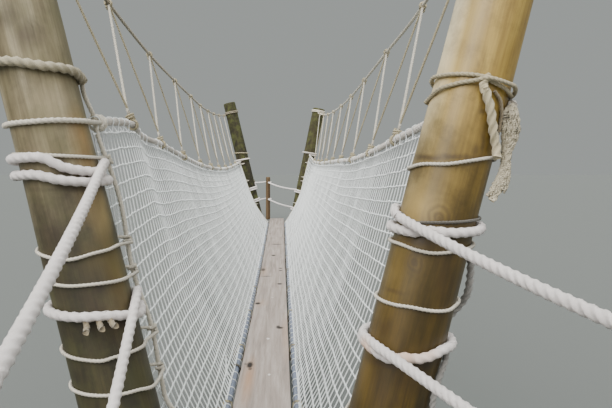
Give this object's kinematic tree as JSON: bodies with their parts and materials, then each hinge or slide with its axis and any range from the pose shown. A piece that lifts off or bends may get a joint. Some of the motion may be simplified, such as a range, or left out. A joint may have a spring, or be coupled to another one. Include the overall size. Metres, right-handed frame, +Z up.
{
  "type": "rope suspension footbridge",
  "caption": "Narrow plank footbridge hung by ropes between leaning round timber posts, with rope handrails and net sides.",
  "frame": {"origin": "centre of the near right post's foot, at ground level", "axes": "+Y along the walk from the near pair of posts to the far pair, +X to the right, +Z up"},
  "size_m": [2.1337, 14.8572, 2.3959],
  "materials": {
    "peeled_pole": "round softwood pole, peeled and oiled, golden brown with knots and long drying cracks",
    "mossy_pole": "round pole, weathered dark brown with green moss",
    "rail_post": "round softwood stake, orange brown",
    "deck_plank": "sawn softwood plank, weathered pinkish grey with knots and open grain",
    "bearer_timber": "sawn softwood, weathered dark grey brown",
    "laid_rope": "three-strand laid rope, ivory, slightly hairy",
    "thin_rope": "thin three-strand laid rope, tan ivory",
    "foot_rope": "rope served with thin cord, blue grey, ribbed",
    "net_cord": "thin knotted cord, pale grey white"
  },
  "bodies": {
    "root": {"near_left_post": "peeled_pole", "near_right_post": "peeled_pole", "far_left_post": "mossy_pole", "far_right_post": "mossy_pole", "deck_plank_near": "deck_plank", "near_sill": "bearer_timber", "deck_plank_far": "deck_plank", "far_sill": "bearer_timber", "deck_bearer_1": "bearer_timber", "deck_bearer_2": "bearer_timber", "deck_bearer_3": "bearer_timber", "deck_bearer_4": "bearer_timber", "deck_bearer_5": "bearer_timber", "deck_bearer_6": "bearer_timber", "deck_bearer_7": "bearer_timber", "deck_bearer_8": "bearer_timber", "deck_bearer_9": "bearer_timber", "left_foot_rope": "foot_rope", "left_hand_rope": "laid_rope", "left_upper_rope": "thin_rope", "left_hanger_lacing": "thin_rope", "left_net": "net_cord", "near_left_net_lashing": "thin_rope", "near_left_rail_post": "rail_post", "near_left_rail_rope_upper": "laid_rope", "near_left_rail_rope_lower": "laid_rope", "far_left_net_lashing": "thin_rope", "far_left_rail_post": "rail_post", "far_left_rail_rope_upper": "laid_rope", "far_left_rail_rope_lower": "laid_rope", "right_foot_rope": "foot_rope", "right_hand_rope": "laid_rope", "right_upper_rope": "thin_rope", "right_hanger_lacing": "thin_rope", "right_net": "net_cord", "near_right_net_lashing": "thin_rope", "near_right_rail_post": "rail_post", "near_right_rail_rope_upper": "laid_rope", "near_right_rail_rope_lower": "laid_rope", "far_right_net_lashing": "thin_rope", "far_right_rail_post": "rail_post", "far_right_rail_rope_upper": "laid_rope", "far_right_rail_rope_lower": "laid_rope", "far_right_rail_post_outer": "rail_post", "near_left_post_band": "thin_rope", "near_right_hand_tail": "thin_rope", "near_right_thin_tail": "thin_rope", "near_right_frayed_tail": "thin_rope"}
  },
  "joints": []
}
